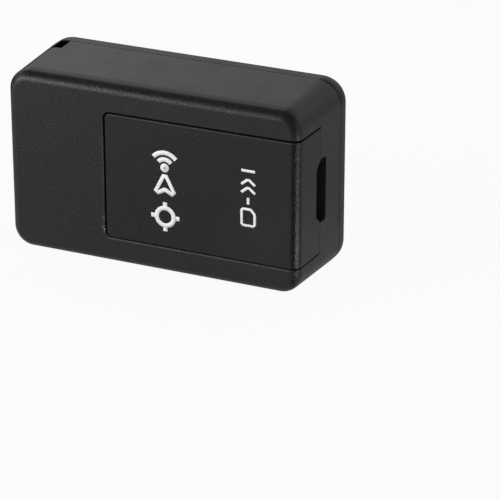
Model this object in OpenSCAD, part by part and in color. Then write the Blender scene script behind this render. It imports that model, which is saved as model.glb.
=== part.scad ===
// Small magnetic tracking device: a drafted housing, a back cover with two magnets, a sliding cover
// over the card bay, and the board, battery, port and antenna inside.
// It stands on one long side. X runs along it toward the charging end, Y from the front face to the
// magnetic back, and Z up. The origin is in the middle of the base.

/* [Case] */
// Length of the case, from the lanyard end to the charging end
body_l = 35; // [34.5:0.5:44]
// Height of the case as it stands on its long side
body_h = 21.2; // [20.8:0.2:27]
// Depth of the case, from the front face to the magnetic back
body_d = 12.8; // [12.2:0.2:17]
// Depth of the back cover, from the seam to the magnetic back
back_d = 2.9; // [2.8:0.05:3.4]
// Radius of the four corners, seen from the front
corner_r = 2.75; // [2.5:0.05:3.4]
// Radius of the edge round the front face
front_round = 1.1; // [0.4:0.05:1.3]
// Radius of the edge round the back
back_round = 1.9; // [1:0.05:2.3]
// How far each side draws in, from the seam to the front face
draft_inset = 0.5; // [0.1:0.05:0.7]
// Thickness of the moulded walls
wall = 1.2; // [0.9:0.05:1.3]
// Open line between the housing and the back cover
seam_gap = 0.08; // [0.04:0.01:0.15]

/* [Sliding cover] */
// From the case's left end to the cover's left edge
cover_start = 12; // [11:0.5:13]
// Height of the cover across the front
cover_h = 14.1; // [14:0.1:14.6]
// Radius of the cover's two left corners
cover_corner_r = 0.7; // [0.3:0.1:1.5]
// Thickness of the cover's front panel
cover_t = 1.5; // [1.4:0.05:1.7]
// How far the cover's end leaf reaches back from the front face
cover_reach = 5.2; // [4.8:0.1:6]
// Open gap round the cover
cover_gap = 0.22; // [0.1:0.02:0.3]
// Gap behind the cover's end leaf
split_gap = 0.05; // [0.04:0.01:0.2]
// Thickness of the panel in front of the rails
cover_skin = 0.5; // [0.4:0.05:0.55]
// Thickness of each rail
rail_t = 0.34; // [0.25:0.01:0.4]
// How far each rail stands out from the window's edge
rail_w = 0.6; // [0.4:0.05:0.9]
// Running clearance round a rail
rail_clearance = 0.08; // [0.04:0.01:0.12]

/* [Charging port] */
// Depth of the port's middle behind the front face
port_depth = 5.46; // [5.3:0.02:6.2]
// Length of the slot in the end, up and down
slot_l = 7.2; // [6.9:0.1:8]
// Width of the slot, front to back
slot_w = 2.24; // [2:0.02:2.6]
// Outer width of the receptacle's shell
port_w = 7.5; // [7.4:0.05:7.9]
// Outer height of the receptacle's shell, above the board
port_h = 2.45; // [2.4:0.05:2.6]
// Length of the receptacle's shell
port_l = 5; // [4.6:0.1:5.4]
// Thickness of the shell's sheet
port_sheet = 0.25; // [0.2:0.01:0.3]

/* [Circuit board] */
// Thickness of the board
board_t = 0.8; // [0.6:0.05:0.9]
// Gap between the board's edge and the wall
board_gap = 0.25; // [0.15:0.05:0.4]
// Radius of the stakes that locate the board
stake_r = 0.6; // [0.4:0.05:0.7]
// Height of the radio's can above the board
can_h = 1.6; // [1.4:0.05:1.8]
// Height of the card holder above the board
holder_h = 1.5; // [1.4:0.02:1.52]
// Room along the case between the cover's left edge and the card holder
bay_l = 5.75; // [5:0.05:7]
// Width of the card holder
holder_w = 13.6; // [13.2:0.1:13.8]
// Thickness of the card holder's moulded base
holder_base_t = 0.5; // [0.4:0.01:0.52]
// Thickness of the stamped sheet of the can and the card holder
sheet_t = 0.2; // [0.15:0.01:0.25]
// Radius of the microphone's capsule
mic_r = 2; // [1.5:0.1:2]
// Height of the microphone above the board
mic_h = 1.5; // [1:0.05:1.6]

/* [Battery] */
// Thickness of the film between board and cell
film_t = 0.15; // [0.1:0.05:0.3]
// Thickness of the foam pad behind the cell
foam_t = 0.7; // [0.4:0.05:1]
// Gap between the cell and what is beside it
cell_gap = 0.3; // [0.2:0.05:0.5]
// Rounding of the cell's long edges
cell_round = 1.2; // [0.6:0.1:1.6]
// Length of the protection board at the cell's end
guard_l = 1.6; // [1.2:0.1:2]
// Radius of the two leads
lead_r = 0.4; // [0.3:0.05:0.45]

/* [Magnets] */
// Radius of each magnet
magnet_r = 5; // [3.5:0.1:5.4]
// Thickness of each magnet
magnet_t = 2; // [1.6:0.05:2.1]
// From each end of the case to the middle of the nearest magnet
magnet_end = 8.5; // [8:0.1:10]
// Gap round a magnet in its pocket
magnet_gap = 0.05; // [0.03:0.01:0.1]
// Thickness of the pocket's floor under a magnet
pocket_floor = 0.7; // [0.5:0.05:0.8]

/* [Lanyard eye] */
// From each outer face to the near side of the eye's window
eye_near = 1.75; // [1.6:0.05:2.2]
// Width of the eye's windows
eye_w = 1.25; // [0.8:0.05:1.4]
// Length of the eye's windows, front to back
eye_h = 2.2; // [1.6:0.05:2.6]
// Thickness of the walls round the eye's passage
eye_wall = 0.9; // [0.7:0.05:1]

/* [Hidden] */

// Cuts run past the faces that they open by this much
cut = 0.5;
// Facets of a full turn on the outer form, on the forms inside it, and on true rounds
outer_fn = 64;
inner_fn = 32;
round_fn = 48;
// Steps of a quarter-round edge
round_steps = 8;
// The two signs of a mirrored pair
SIDES = [-1, 1];

// Colours of the finishes
case_black = [0.13, 0.13, 0.135];
cover_black = [0.11, 0.11, 0.115];
nickel = [0.78, 0.78, 0.76];
tin = [0.72, 0.73, 0.74];
gold = [0.85, 0.68, 0.35];
mask_green = [0.05, 0.22, 0.12];
chip_black = [0.08, 0.08, 0.09];
moulded_ivory = [0.85, 0.83, 0.76];
foil_silver = [0.7, 0.71, 0.72];
tape_amber = [0.85, 0.55, 0.12];
rubber_grey = [0.2, 0.2, 0.21];

// Places that the case sets
half_l = body_l/2;
half_h = body_h/2;
housing_d = body_d - back_d;
corner_x = half_l - corner_r;
corner_z = half_h - corner_r;
inner_end_x = half_l - draft_inset - wall;

// The cover's window, its rails and the gussets behind its corner
cover_x = cover_start - half_l;
window_half = cover_h/2 + cover_gap;
rail_tip = window_half - rail_w;
rail_lead = 1;
rail_stop = 0.6;
rail_end_x = inner_end_x - rail_stop;
gusset = 1.2;
gusset_t = 0.6;
gusset_z = 4.5;

// Cuts across the slot's front corners, along the end and up it, and its small rear ones, with their rounding
slot_front_cut = [1, 0.9];
slot_rear_cut = [0.3, 0.3];
slot_r = 0.4;

// The back cover's skirt, floor, ribs and clips
skirt_share = 3/8;
skirt_l = skirt_share*(housing_d - port_depth - port_h/2);
skirt_t = 0.7;
skirt_gap = 0.1;
skirt_front = housing_d - skirt_l;
skirt_skin = wall + skirt_gap;
lid_skin = skirt_skin + skirt_t;
lid_floor = 1.4;
lid_rib_t = 0.8;
clip_r = 0.3;
clip_proud = 0.18;
clip_l = 5;
clip_gap = 0.08;
clip_depth = skirt_front + skirt_l/2;
clip_end = 9.5;
clip_x = half_l - clip_end;

// The magnets' places, and their pockets, seen from inside
magnet_x = half_l - magnet_end;
cup_wall = 0.8;
cup_front = body_d - magnet_t - pocket_floor;
magnet_chamfer = 0.2;

// The corner block of the lanyard eye, and the room that the skirt leaves for it
eye_far = eye_near + eye_w;
eye_block = eye_far + eye_wall;
eye_room = 0.2;

// The board, its ledges and its stakes
board_back = port_depth - port_h/2;
board_front = board_back - board_t;
board_half_l = half_l - inset_at(board_front) - wall - board_gap;
board_half_h = half_h - inset_at(board_front) - wall - board_gap;
stake_edge = 1.5;
stake_x = board_half_l - stake_edge;
stake_z = board_half_h - stake_edge;
stake_gap = 0.1;
stake_head = 0.5;
ledge_margin = 0.5;
ledge_l = 2.6;
ledge_rim = 0.1;
ledge_low = stake_z - stake_r - ledge_margin;

// The receptacle: its mouth, its back, its tongue and its contacts
port_setback = 0.15;
port_mouth_x = half_l - inset_at(port_depth) - wall - port_setback;
port_back_x = port_mouth_x - port_l;
port_cut = [0.95, 0.9];
port_edge = 0.2;
port_body_l = 1.2;
port_fit = 0.03;
port_tab = [1, 0.8];
port_tab_x = [0.8, 3.2];
port_latch = [1.3, 0.6];
tongue_w = 3.7;
tongue_t = 0.6;
tongue_gap = 0.4;
tongue_setback = 0.6;
tongue_front = board_back + port_h - port_sheet - tongue_gap - tongue_t;
contact_pitch = 0.65;
contact_w = 0.3;
contact_t = 0.12;
contact_setback = 0.4;
contact_foot = 0.5;

// The radio's can and the chip under it
can_edge = 1.2;
can_gap = 0.6;
can_side_gap = 0.4;
can_x = [can_edge - board_half_l, cover_x - can_gap];
can_middle = (can_x[0] + can_x[1])/2;
can_half = ledge_low - can_side_gap;
can_r = 0.5;
can_hole_pitch = (can_x[1] - can_x[0])/5;
can_hole_r = can_hole_pitch/4;
modem_share = 0.7;
modem_side = modem_share*(can_x[1] - can_x[0]);
modem_h = 0.9;

// The card holder
holder_setback = 2.7;
holder_x = [cover_x + bay_l, inner_end_x - holder_setback];
holder_l = holder_x[1] - holder_x[0];
holder_top = board_front - holder_h;
holder_tab = [1.3, 0.75];
holder_notch_r = holder_l/5;
leaf_window = [0.18*holder_l, 1.7];
leaf_l = 0.15*holder_l;
leaf_w = 1.2;
leaf_h = holder_base_t + 0.16;
leaf_pitch = [0.36*holder_l, 2.9];
leaf_shares = [
    [0, 0], [0.36, 0], [0.74, 0.8], [1, 0.58], [1, 0.78], [0.74, 1], [0.32, 0.2], [0, 0.2],
];

// The bay between the can and the card holder
bay_x = (can_x[1] + holder_x[0])/2;
mic_fit = 0.03;
boot_t = 0.4;
boot_h = 1.1;
boot_margin = 0.4;
mic_z = mic_r + boot_t + boot_margin - window_half;
mic_port_r = 0.5;
mic_port_depth = 0.3;
led_size = [1.6, 0.6, 0.8];
led_z = [-0.7, 1.5];
crystal_size = [3.2, 0.7, 2.2];
crystal_z = 5.2;
crystal_r = 0.4;
chip_size = [1, 0.4, 0.5];
chip_pitch = 1;
chip_margin = 0.48;
chip_row_x = holder_x[0] - bay_x - chip_size[0]/2 - chip_margin;
chip_rows = 4;

// The charging chip, behind the board and below the port
charger_room = [port_w/2 + port_tab[1], board_half_h];
charger_share = [0.38, 0.14];
charger_size = [2.9, 1.1, charger_share[0]*(charger_room[1] - charger_room[0])];
charger_lift = 0.1;
charger_x = port_back_x + port_l/2;
charger_z = -(charger_room[0] + charger_room[1])/2;
charger_pin = [0.4, 0.15, charger_share[1]*(charger_room[1] - charger_room[0])];
charger_pitch = 0.95;

// The cell, its protection board and its leads
cell_front = board_back + film_t;
cell_back = cup_front - foam_t;
cell_half = half_h - inset_at(skirt_front) - lid_skin - cell_gap;
tape_t = 0.1;
bend_r = 0.9;
lead_out = 0.25;
guard_end = port_back_x - cell_gap - lead_r - bend_r - lead_out;
guard_x = [guard_end - guard_l, guard_end];
cell_x = [eye_block + cell_gap - half_l, guard_x[0] - tape_t];
guard_t = 0.6;
guard_lift = 0.9;
guard_front = cell_front + guard_lift;
guard_back = guard_front + guard_t;
guard_margin = 1;
guard_half = cell_half - guard_margin;
tab_t = 0.3;
tab_w = 3;
tab_edge = 3;
tab_z = guard_half - tab_edge;
lead_depth = guard_back + lead_r;
lead_edge = 0.63;
lead_pitch = 1.2;
lead_z = [guard_half - lead_edge - lead_pitch, guard_half - lead_edge];
lead_bend_x = guard_x[1] + lead_out;
lead_hole_gap = 0.1;

// The foam pad, inside the cell's outline
foam_margin = 1;
foam_half = 6;

// The printed antenna and its contact
strip_t = 0.2;
glue_t = 0.05;
strip_start = 7.5;
strip_past = 3.2;
strip_margin = 0.35;
strip_x = [strip_start - half_l, port_back_x + strip_past];
strip_depth = [board_back + strip_margin, skirt_front - strip_margin];
spring_t = 0.15;
spring_w = 1;
spring_x = port_back_x + port_l/2;
spring_foot = 1.4;
spring_reach = 1.4;
spring_lip = 0.4;

// How far the walls stand in from the widest outline at a depth
function inset_at(depth) = draft_inset*(1 - depth/housing_d);
// Radius of the corners at a depth, drawn in by a skin
function corner_r_at(depth, skin = 0) = corner_r - inset_at(depth) - skin;
// Inner face of the antenna against the top wall, at a depth
function strip_z(depth) = half_h - inset_at(depth) - wall - glue_t;

// An outline's upper half, joined to its mirror image below
function mirrored(points) = concat(points, [for (i = [len(points) - 1:-1:0]) [points[i][0], -points[i][1]]]);

// Drawings are made from the front face's middle: X along, depth backwards, Z up
module in_case() translate([0, -body_d/2, half_h]) children();

// A box from its lowest and highest values along the case, in depth and in height
module block(x, depth, z) translate([x[0], depth[0], z[0]])
    cube([x[1] - x[0], depth[1] - depth[0], z[1] - z[0]]);

// Children again, mirrored about the middle height
module above_and_below() {
    children();
    mirror([0, 0, 1]) children();
}

// Children at the case's four corner axes, turned so that they rise from front to back
module at_corners() for (sx = SIDES, sz = SIDES)
    translate([sx*corner_x, 0, sz*corner_z]) rotate([-90, 0, 0]) children();

// A drawing of depth and height, run along the case
module along_case(x) translate([x[0], 0, 0]) rotate([90, 0, 90]) linear_extrude(x[1] - x[0]) children();

// A drawing of length and height, run from one depth to another
module through(depth) translate([0, depth[1], 0]) rotate([90, 0, 0])
    linear_extrude(depth[1] - depth[0]) children();

// A drawing of length and depth, run up between two heights
module upright(z) translate([0, 0, z[0]]) linear_extrude(z[1] - z[0]) children();

// A round rod in depth
module rod(r, depth, r_end = undef) translate([0, depth[0], 0]) rotate([-90, 0, 0])
    cylinder(h = depth[1] - depth[0], r1 = r, r2 = is_undef(r_end) ? r : r_end, $fn = round_fn);

// Half profile of a corner of the housing: rounded front edge, then the drafted side
function front_profile() = concat(
    [[0, 0]],
    [for (i = [0:round_steps]) let (a = 90*i/round_steps)
        [corner_r_at(front_round) - front_round*(1 - sin(a)), front_round*(1 - cos(a))]],
    [[corner_r, housing_d], [0, housing_d]]
);

// Half profile of a corner of the back cover: short straight side, then the rounded back edge
function back_profile() = concat(
    [[0, housing_d + seam_gap], [corner_r, housing_d + seam_gap]],
    [for (i = [0:round_steps]) let (a = 90*i/round_steps)
        [corner_r - back_round*(1 - cos(a)), body_d - back_round*(1 - sin(a))]],
    [[0, body_d]]
);

// Outer form of the housing and cover together
module front_form() hull() at_corners() rotate_extrude($fn = outer_fn) polygon(front_profile());

// Outer form of the back cover
module back_form() hull() at_corners() rotate_extrude($fn = outer_fn) polygon(back_profile());

// The form inside a skin, with the same draft as outside
module inner_form(skin, depth) hull() at_corners() translate([0, 0, depth[0]]) cylinder(
    h = depth[1] - depth[0], r1 = corner_r_at(depth[0], skin), r2 = corner_r_at(depth[1], skin),
    $fn = inner_fn
);

// A plate of the case's outline, drawn in to a corner radius
module plate(r, depth) through(depth) hull() for (sx = SIDES, sz = SIDES)
    translate([sx*corner_x, sz*corner_z]) circle(r, $fn = inner_fn);

// The cover's outline, grown by a gap, from before the front face back to a depth
module cover_window(grow, depth) through([-cut, depth]) {
    r = cover_corner_r + grow;
    half = cover_h/2 + grow;
    hull() for (s = SIDES) {
        translate([cover_x - grow + r, s*(half - r)]) circle(r, $fn = inner_fn);
        translate([half_l, s*half - (s + 1)/2*r]) square([cut, r]);
    }
}

// The rails that stand in the window's long edges, or with a clearance the grooves for them
module rails(clearance, x) above_and_below() block(
    x,
    [cover_skin + rail_clearance - clearance, cover_skin + rail_clearance + rail_t + clearance],
    [rail_tip - clearance, window_half + clearance]
);

// The charging slot, through housing and cover
module port_slot() along_case([port_mouth_x - cut, half_l + cut]) {
    front = port_depth - slot_w/2;
    back = port_depth + slot_w/2;
    top = slot_l/2;
    offset(r = slot_r, $fn = inner_fn) offset(delta = -slot_r) polygon(mirrored([
        [front, top - slot_front_cut[1]], [front + slot_front_cut[0], top],
        [back - slot_rear_cut[0], top], [back, top - slot_rear_cut[1]],
    ]));
}

// The upper left corner, as deep into the case as the eye's block reaches
module eye_corner(size, depth) block([-half_l - cut, size - half_l], depth, [half_h - size, half_h + cut]);

// The passage behind the corner post, from the top window to the end window
module eye_passage() {
    depth = [housing_d - eye_h, housing_d + cut];
    block([eye_near - half_l, eye_far - half_l], depth, [half_h - eye_far, half_h + cut]);
    block([-half_l - cut, eye_far - half_l], depth, [half_h - eye_far, half_h - eye_near]);
}

// The ridges of the back cover's clips, or with a gap their recesses
module clips(gap) {
    inset = inset_at(clip_depth) + skirt_skin + clip_r - clip_proud;
    above_and_below() for (s = SIDES) translate([s*clip_x, clip_depth, half_h - inset])
        rotate([0, 90, 0]) cylinder(h = clip_l + 2*gap, r = clip_r + gap, center = true, $fn = inner_fn);
    for (s = SIDES) translate([s*(half_l - inset), clip_depth, 0])
        cylinder(h = clip_l + 2*gap, r = clip_r + gap, center = true, $fn = inner_fn);
}

// What stands inside the housing: ledges under the board's corners and the block of the eye
module housing_inner() {
    above_and_below() {
        block([-half_l, ledge_margin + stake_r - stake_x], [0, board_front], [ledge_low, half_h]);
        block([inner_end_x - ledge_l, half_l], [0, board_front], [window_half + ledge_rim, half_h]);
        translate([-stake_x, 0, stake_z]) rod(stake_r, [0, board_back + stake_head]);
    }
    eye_corner(eye_block, [housing_d - eye_h - eye_wall, housing_d + 2*cut]);
}

module housing() color(case_black) in_case() difference() {
    front_form();
    difference() {
        inner_form(wall, [wall, housing_d + cut]);
        housing_inner();
    }
    difference() {
        cover_window(cover_gap, cover_reach + split_gap);
        rails(0, [cover_x + rail_lead, rail_end_x]);
    }
    port_slot();
    eye_passage();
    clips(clip_gap);
}

module sim_cover() color(cover_black) in_case() difference() {
    intersection() {
        front_form();
        cover_window(0, cover_reach);
    }
    difference() {
        inner_form(wall, [cover_t, housing_d]);
        above_and_below() upright([gusset_z - gusset_t/2, gusset_z + gusset_t/2]) polygon([
            [inner_end_x - gusset, cover_t - cut], [inner_end_x - gusset, cover_t],
            [inner_end_x, cover_t + gusset], [half_l, cover_t + gusset], [half_l, cover_t - cut],
        ]);
    }
    rails(rail_clearance, [cover_x - cut, rail_end_x + rail_clearance]);
    port_slot();
}

// What stands inside the back cover: magnet cups, ribs between them and the pad behind the eye
module lid_inner() {
    for (s = SIDES) translate([s*magnet_x, 0, 0]) {
        rod(magnet_r + magnet_gap + cup_wall, [cup_front, body_d]);
        block([-lid_rib_t/2, lid_rib_t/2], [cup_front, body_d], [-half_h, half_h]);
    }
    block([-half_l, half_l], [cup_front, body_d], [-lid_rib_t/2, lid_rib_t/2]);
    eye_corner(eye_block, [housing_d, body_d]);
}

module back_cover() color(case_black) in_case() difference() {
    union() {
        back_form();
        plate(corner_r_at(skirt_front, skirt_skin), [skirt_front, housing_d + 2*seam_gap]);
        clips(0);
    }
    difference() {
        plate(corner_r_at(skirt_front, lid_skin), [skirt_front - cut, body_d - lid_floor]);
        lid_inner();
    }
    eye_corner(eye_block + eye_room, [skirt_front - cut, housing_d + seam_gap]);
    for (s = SIDES) translate([s*magnet_x, 0, 0])
        rod(magnet_r + magnet_gap, [body_d - magnet_t, body_d + cut]);
}

module magnet(side) color(nickel) in_case() translate([side*magnet_x, 0, 0]) {
    front = body_d - magnet_t;
    rod(magnet_r - magnet_chamfer, [front, front + magnet_chamfer], magnet_r);
    rod(magnet_r, [front + magnet_chamfer, body_d - magnet_chamfer]);
    rod(magnet_r, [body_d - magnet_chamfer, body_d], magnet_r - magnet_chamfer);
}

module circuit_board() color(mask_green) in_case() difference() {
    plate(corner_r_at(board_front, wall + board_gap), [board_front, board_back]);
    above_and_below() translate([-stake_x, 0, stake_z])
        rod(stake_r + stake_gap, [board_front - cut, board_back + cut]);
}

// Outline of the radio's can, drawn in by a skin
module can_outline(skin) translate([can_x[0] + can_r, can_r - can_half])
    offset(r = can_r - skin, $fn = inner_fn)
        square([can_x[1] - can_x[0] - 2*can_r, 2*(can_half - can_r)]);

module shield_can() color(tin) in_case() difference() {
    top = board_front - can_h;
    through([top, board_front]) can_outline(0);
    through([top + sheet_t, board_front + cut]) can_outline(sheet_t);
    for (i = [-1:1], k = [-2:2]) translate([can_middle + i*can_hole_pitch, 0, k*can_hole_pitch])
        rod(can_hole_r, [top - cut, top + sheet_t + cut]);
}

module modem_chip() color(chip_black) in_case() translate([can_middle, 0, 0])
    on_front([modem_side, modem_h, modem_side]);

// Children at the six places of the card's contacts
module at_leaves() for (i = SIDES, k = [-1:1])
    translate([(holder_x[0] + holder_x[1])/2 + i*leaf_pitch[0]/2, 0, k*leaf_pitch[1]]) children();

module sim_holder_base() color(moulded_ivory) in_case() difference() {
    block(holder_x + [sheet_t, 0], [board_front - holder_base_t, board_front],
        [sheet_t - holder_w/2, holder_w/2 - sheet_t]);
    at_leaves() block([-leaf_window[0]/2, leaf_window[0]/2],
        [board_front - holder_base_t - cut, board_front + cut], [-leaf_window[1]/2, leaf_window[1]/2]);
}

module sim_contacts() color(gold) in_case() at_leaves() upright([-leaf_w/2, leaf_w/2])
    polygon([for (p = leaf_shares) [(p[0] - 0.5)*leaf_l, board_front - p[1]*leaf_h]]);

module sim_holder_cage() color(tin) in_case() {
    half = holder_w/2;
    difference() {
        block(holder_x, [holder_top, board_front], [-half, half]);
        block(holder_x + [sheet_t, cut], [holder_top + sheet_t, board_front + cut],
            [sheet_t - half, half - sheet_t]);
        translate([holder_x[1], 0, 0]) rod(holder_notch_r, [holder_top - cut, holder_top + sheet_t + cut]);
        at_leaves() block([-leaf_window[0]/2, leaf_window[0]/2],
            [holder_top - cut, holder_top + sheet_t + cut], [-leaf_window[1]/4, leaf_window[1]/4]);
    }
    above_and_below() for (x = [holder_x[0] + holder_tab[0], holder_x[1] - 2*holder_tab[0]])
        block([x, x + holder_tab[0]], [board_front - sheet_t, board_front], [half, half + holder_tab[1]]);
}

module microphone() color(tin) in_case() translate([bay_x, 0, mic_z]) difference() {
    rod(mic_r, [board_front - mic_h, board_front]);
    rod(mic_port_r, [board_front - mic_h - cut, board_front - mic_h + mic_port_depth]);
}

module mic_boot() color(rubber_grey) in_case() translate([bay_x, 0, mic_z]) difference() {
    rod(mic_r + mic_fit + boot_t, [board_front - boot_h, board_front]);
    rod(mic_r + mic_fit, [board_front - boot_h - cut, board_front + cut]);
}

// A box that stands on the board's front face, around a place in length and height
module on_front(size) block([-size[0]/2, size[0]/2], [board_front - size[1], board_front],
    [-size[2]/2, size[2]/2]);

module status_leds() color("whitesmoke") in_case() for (z = led_z)
    translate([bay_x, 0, z]) on_front(led_size);

module crystal() color(tin) in_case() translate([bay_x, 0, crystal_z])
    through([board_front - crystal_size[1], board_front])
        offset(r = crystal_r, $fn = inner_fn)
            square([crystal_size[0], crystal_size[2]] - [2*crystal_r, 2*crystal_r], center = true);

module chip_components() color(chip_black) in_case() {
    for (s = SIDES, i = [0:chip_rows - 1])
        translate([bay_x + s*chip_row_x, 0, led_z[0] + (i - 0.5)*chip_pitch]) on_front(chip_size);
    for (i = [0:chip_rows - 2])
        translate([charger_x - charger_size[0], board_back, charger_z + (i - 1)*chip_pitch])
            block([-chip_size[0]/2, chip_size[0]/2], [0, chip_size[1]], [-chip_size[2]/2, chip_size[2]/2]);
}

// Outline of the receptacle's shell, drawn in by a skin
function port_points(skin) = let (
    front = board_back + skin, back = board_back + port_h - skin, top = port_w/2 - skin
) mirrored([
    [front, top - port_cut[1]], [front + port_cut[0], top], [back - port_edge, top], [back, top - port_edge],
]);

module usb_shell() color(tin) in_case() difference() {
    union() {
        along_case([port_back_x, port_mouth_x]) polygon(port_points(0));
        above_and_below() for (x = port_tab_x) block(
            [port_back_x + x, port_back_x + x + port_tab[0]], [board_back, board_back + port_sheet],
            [port_w/2 - port_cut[1], port_w/2 + port_tab[1]]
        );
    }
    along_case([port_back_x - cut, port_mouth_x + cut]) polygon(port_points(port_sheet));
    above_and_below() block(
        [port_mouth_x - 2*port_latch[0], port_mouth_x - port_latch[0]],
        [board_back + port_h - 2*port_sheet, board_back + port_h + cut],
        [tongue_w/2 - port_latch[1], tongue_w/2]
    );
}

// Side view of a contact: along the tongue, through the body, down its back and out on the board
module contact_profile(gap) polygon([
    [port_mouth_x - tongue_setback - contact_setback + gap, tongue_front + gap],
    [port_back_x - contact_t - gap, tongue_front + gap],
    [port_back_x - contact_t - gap, board_back + contact_t + gap],
    [port_back_x - contact_t - contact_foot - gap, board_back + contact_t + gap],
    [port_back_x - contact_t - contact_foot - gap, board_back],
    [port_back_x + gap, board_back],
    [port_back_x + gap, tongue_front - contact_t - gap],
    [port_mouth_x - tongue_setback - contact_setback + gap, tongue_front - contact_t - gap],
]);

// The five contacts, or with a gap the room for them
module contacts(gap) for (i = [-2:2])
    upright([i*contact_pitch - contact_w/2 - gap, i*contact_pitch + contact_w/2 + gap])
        contact_profile(gap);

module usb_contacts() color(gold) in_case() contacts(0);

module usb_tongue() color(chip_black) in_case() difference() {
    union() {
        along_case([port_back_x, port_back_x + port_body_l]) polygon(port_points(port_sheet + port_fit));
        block([port_back_x, port_mouth_x - tongue_setback], [tongue_front, tongue_front + tongue_t],
            [-tongue_w/2, tongue_w/2]);
    }
    contacts(port_fit);
}

module charger_chip() color(chip_black) in_case() translate([charger_x, board_back, charger_z]) {
    block([-charger_size[0]/2, charger_size[0]/2], [charger_lift, charger_lift + charger_size[1]],
        [-charger_size[2]/2, charger_size[2]/2]);
    above_and_below() for (i = [-1:1]) translate([i*charger_pitch, 0, 0])
        block([-charger_pin[0]/2, charger_pin[0]/2], [0, charger_pin[1]],
            [charger_size[2]/2 - charger_pin[1], charger_size[2]/2 + charger_pin[2]]);
}

module battery_cell() color(foil_silver) in_case() along_case(cell_x)
    translate([cell_front + cell_round, cell_round - cell_half]) offset(r = cell_round, $fn = inner_fn)
        square([cell_back - cell_front - 2*cell_round, 2*(cell_half - cell_round)]);

// The protection board with its two chips, and the cell's two tabs that it is welded to
module battery_board() color(mask_green) in_case() {
    block(guard_x, [guard_front, guard_back], [-guard_half, guard_half]);
    for (s = SIDES) translate([(guard_x[0] + guard_x[1])/2, 0, s*2*tab_w/3])
        block([-guard_l/4, guard_l/4], [guard_back, guard_back + guard_t], [-tab_w/3, tab_w/3]);
    for (s = SIDES) block([cell_x[1], guard_x[1]] - [0, guard_l/3],
        [guard_front - tab_t, guard_front], [s*tab_z - tab_w/2, s*tab_z + tab_w/2]);
}

module battery_tape() color(tape_amber) in_case() difference() {
    x = [guard_x[0] - tape_t, guard_x[1] + 2*tape_t];
    depth = [guard_front - tab_t - 2*tape_t, lead_depth + lead_r + 2*tape_t];
    half = guard_half + 2*tape_t;
    block(x, depth, [-half, half]);
    block([x[0] - cut, x[1] - tape_t], depth + [tape_t, -tape_t], [tape_t - half, half - tape_t]);
    for (z = lead_z) translate([x[1], lead_depth, z]) rotate([0, 90, 0])
        cylinder(h = 2*cut, r = lead_r + lead_hole_gap, center = true, $fn = inner_fn);
}

// A lead: off the protection board, round one bend and down to the board
module lead(z) in_case() translate([lead_bend_x, lead_depth, z]) {
    start = guard_x[1] - guard_l/2 - lead_bend_x;
    rotate([0, 90, 0]) translate([0, 0, start]) cylinder(h = -start, r = lead_r, $fn = inner_fn);
    translate([0, -bend_r, 0]) rotate_extrude(angle = 90, $fn = round_fn) translate([bend_r, 0])
        circle(lead_r, $fn = inner_fn);
    translate([bend_r, 0, 0]) rod(lead_r, [board_back - lead_depth, -bend_r]);
}

module battery_wire_red() color("firebrick") lead(lead_z[1]);

module battery_wire_black() color(chip_black) lead(lead_z[0]);

module insulating_sheet() color(tape_amber) in_case()
    block(cell_x, [board_back, cell_front], [cell_gap - cell_half, cell_half - cell_gap]);

module foam_pad() color(rubber_grey) in_case()
    block(cell_x + [foam_margin, -foam_margin], [cell_back, cup_front], [-foam_half, foam_half]);

module antenna_strip() color(tape_amber) in_case() along_case(strip_x) polygon([
    for (d = strip_depth) [d, strip_z(d)],
    for (i = [1, 0]) [strip_depth[i], strip_z(strip_depth[i]) - strip_t],
]);

module antenna_spring() color(gold) in_case()
    along_case([spring_x - spring_w/2, spring_x + spring_w/2]) {
        foot = board_half_h - spring_foot;
        knee = board_half_h - spring_foot/2;
        tip = board_back + spring_reach;
        top = strip_z(tip) - strip_t - glue_t;
        polygon([
            [board_back, foot], [board_back, knee], [tip, top], [tip + spring_lip, top - spring_lip],
            [tip + spring_lip - spring_t, top - spring_lip - spring_t], [tip, top - 2*spring_t],
            [board_back + spring_t, knee - spring_t], [board_back + spring_t, foot],
        ]);
    }

housing();
back_cover();
sim_cover();
magnet(-1);  // magnet_left
magnet(1);  // magnet_right
circuit_board();
shield_can();
modem_chip();
sim_holder_base();
sim_holder_cage();
sim_contacts();
microphone();
mic_boot();
status_leds();
crystal();
chip_components();
usb_shell();
usb_tongue();
usb_contacts();
charger_chip();
battery_cell();
battery_board();
battery_tape();
battery_wire_red();
battery_wire_black();
insulating_sheet();
foam_pad();
antenna_strip();
antenna_spring();
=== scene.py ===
"""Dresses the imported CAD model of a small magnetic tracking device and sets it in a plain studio.

Sizes are written in millimetres and made into metres where a mesh is built. Every mesh lies in the CAD's
own frame: X along the case toward the charging end, Y from the front face to the magnetic back, Z up.
"""

from __future__ import annotations

import logging
import math
from dataclasses import dataclass, field, replace
from enum import Enum

import bmesh
import bpy
from mathutils import Euler, Matrix, Quaternion, Vector


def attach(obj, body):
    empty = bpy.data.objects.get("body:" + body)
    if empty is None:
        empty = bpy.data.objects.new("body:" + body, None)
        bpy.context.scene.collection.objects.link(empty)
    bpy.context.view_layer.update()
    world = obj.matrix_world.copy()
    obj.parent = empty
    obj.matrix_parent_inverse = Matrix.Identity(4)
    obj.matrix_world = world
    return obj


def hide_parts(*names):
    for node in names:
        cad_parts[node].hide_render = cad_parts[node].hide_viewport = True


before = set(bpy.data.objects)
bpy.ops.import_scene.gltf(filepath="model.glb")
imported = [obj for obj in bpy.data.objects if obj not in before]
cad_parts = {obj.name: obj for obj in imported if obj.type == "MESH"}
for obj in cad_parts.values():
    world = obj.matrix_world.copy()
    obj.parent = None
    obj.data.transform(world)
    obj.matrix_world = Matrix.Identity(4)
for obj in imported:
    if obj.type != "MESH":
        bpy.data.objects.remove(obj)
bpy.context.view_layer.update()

log = logging.getLogger("tracking_device")

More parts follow.
